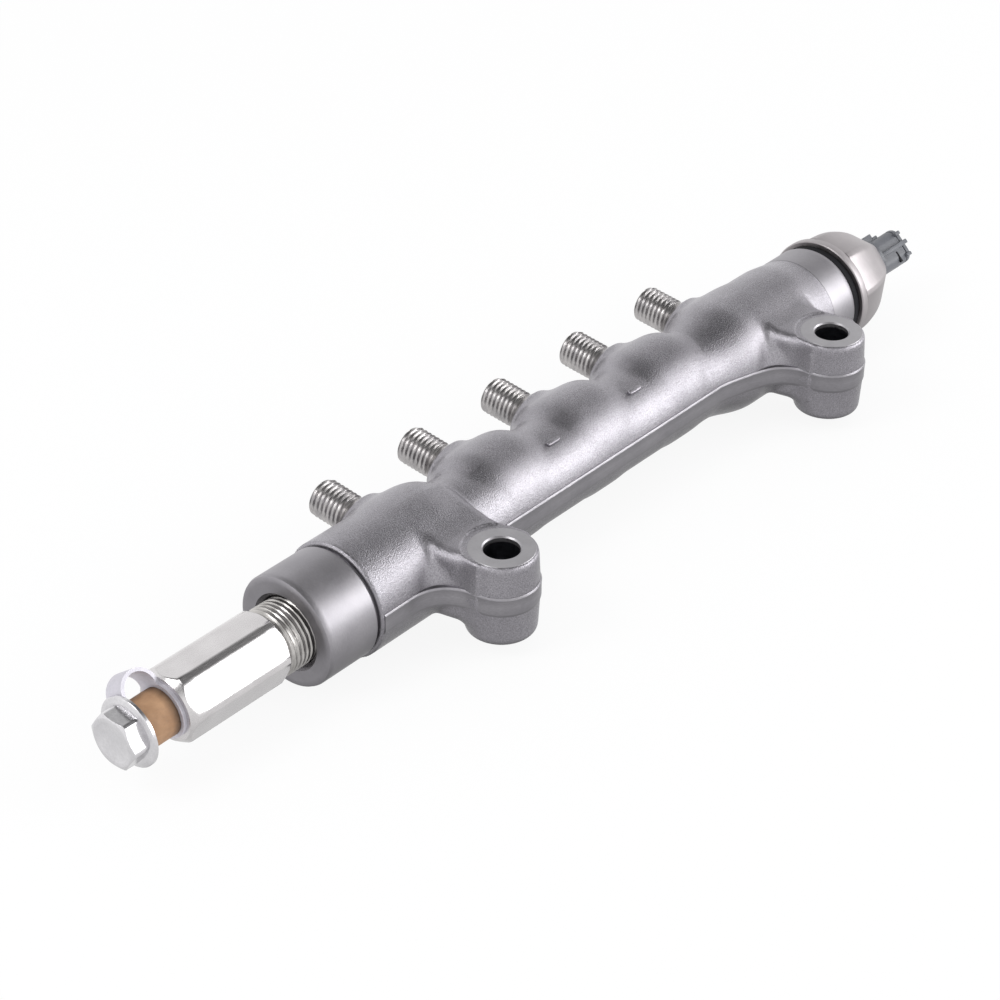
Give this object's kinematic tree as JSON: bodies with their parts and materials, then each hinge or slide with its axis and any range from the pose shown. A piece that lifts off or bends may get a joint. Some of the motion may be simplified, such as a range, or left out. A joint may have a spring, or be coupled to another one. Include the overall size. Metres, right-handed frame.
{
  "type": "fuel rail",
  "caption": "Forged diesel common rail with threaded pipe ports and two bolt bosses, a pressure limiter with return bolt at one end and a pressure sensor at the other.",
  "frame": {"origin": "midway between the two mounting bolts, on the plane that the bosses seat on", "axes": "+X runs along the rail from the pressure limiter towards the pressure sensor, +Y from the bolts across the rail towards the pipe ports, +Z out of the mounting face, the way the screws are put in from"},
  "size_m": [0.3366, 0.0722, 0.0346],
  "materials": {
    "forged_steel": "shot-blasted forging with turned ends",
    "zinc_steel": "bright zinc plate",
    "hard_steel": "ground and hardened",
    "spring_steel": "oiled spring wire",
    "bolt_steel": "zinc plate",
    "gasket_metal": "soft pale metal",
    "brown_fibre": "brown wrapped fibre tube",
    "black_seal": "matt",
    "sensor_steel": "satin stainless steel",
    "circuit_board": "coated board",
    "grey_plastic": "moulded, slightly glossy",
    "terminal_metal": "tinned brass"
  },
  "bodies": {
    "rail": {"rail_body": "forged_steel", "orifice_1": "hard_steel", "orifice_2": "hard_steel", "orifice_3": "hard_steel", "orifice_4": "hard_steel", "orifice_5": "hard_steel", "limiter_body": "zinc_steel", "limiter_seat": "hard_steel", "limiter_spring": "spring_steel", "limiter_shim": "hard_steel", "limiter_spring_stop": "hard_steel", "eye_bolt": "bolt_steel", "twin_gasket": "gasket_metal", "spacer_sleeve": "brown_fibre", "sensor_seal": "black_seal", "sensor_body": "sensor_steel", "sensor_stem": "sensor_steel", "sensor_board": "circuit_board", "sensor_o_ring": "black_seal", "sensor_connector": "grey_plastic", "terminal_1": "terminal_metal", "terminal_2": "terminal_metal", "terminal_3": "terminal_metal"},
    "limiter_valve": {"limiter_valve": "hard_steel"}
  },
  "joints": [
    {"name": "limiter_valve_lift", "type": "slide", "parent": "rail", "child": "limiter_valve", "axis": [-1, 0, 0], "range_m": [0, 0.001], "stiffness_N_per_m": 50000, "deforming": ["limiter_spring"]}
  ]
}
